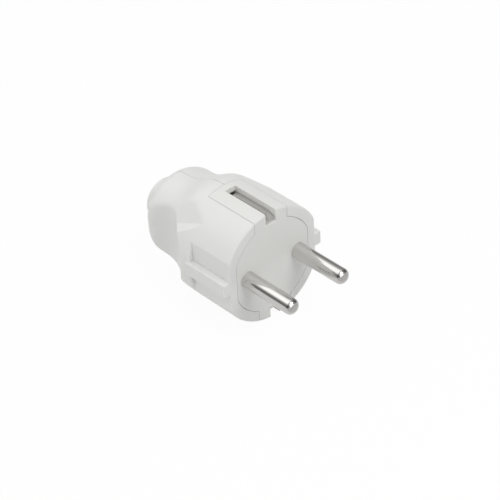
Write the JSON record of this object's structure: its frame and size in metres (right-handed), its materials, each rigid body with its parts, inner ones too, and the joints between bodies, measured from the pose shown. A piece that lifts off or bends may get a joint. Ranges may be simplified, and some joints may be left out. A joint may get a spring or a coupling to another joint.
{
  "type": "type f plug",
  "caption": "Straight rewirable mains plug: round pins, earth contacts in slots at the edge, a moulded housing with thumb scoops, and a cord outlet bush.",
  "frame": {"origin": "centre of the engagement face, midway between the pins", "axes": "-Y along the pins out of the face, +Y towards the cord outlet, X from one pin to the other, +Z towards one of the earth contacts"},
  "size_m": [0.0366, 0.067, 0.036],
  "materials": {
    "housing_plastic": "satin",
    "carrier_plastic": "satin",
    "bush_plastic": "satin",
    "clamp_plastic": "satin",
    "nickel_plated_pin": "nickel plated, polished",
    "earth_metal": "nickel plated, satin",
    "fastener_steel": "zinc plated"
  },
  "bodies": {
    "root": {"housing_left": "housing_plastic", "housing_right": "housing_plastic", "contact_carrier": "carrier_plastic", "cable_bush": "bush_plastic", "cord_clamp": "clamp_plastic", "pin_left": "nickel_plated_pin", "pin_right": "nickel_plated_pin", "earth_strap": "earth_metal", "earth_saddle": "earth_metal", "earth_nut": "fastener_steel", "earth_screw": "fastener_steel", "pin_screw_left": "fastener_steel", "pin_screw_right": "fastener_steel", "cord_clamp_screw_top": "fastener_steel", "cord_clamp_screw_bottom": "fastener_steel", "housing_screw_top": "fastener_steel", "housing_screw_bottom": "fastener_steel", "housing_nut_top": "fastener_steel", "housing_nut_bottom": "fastener_steel"}
  },
  "joints": []
}
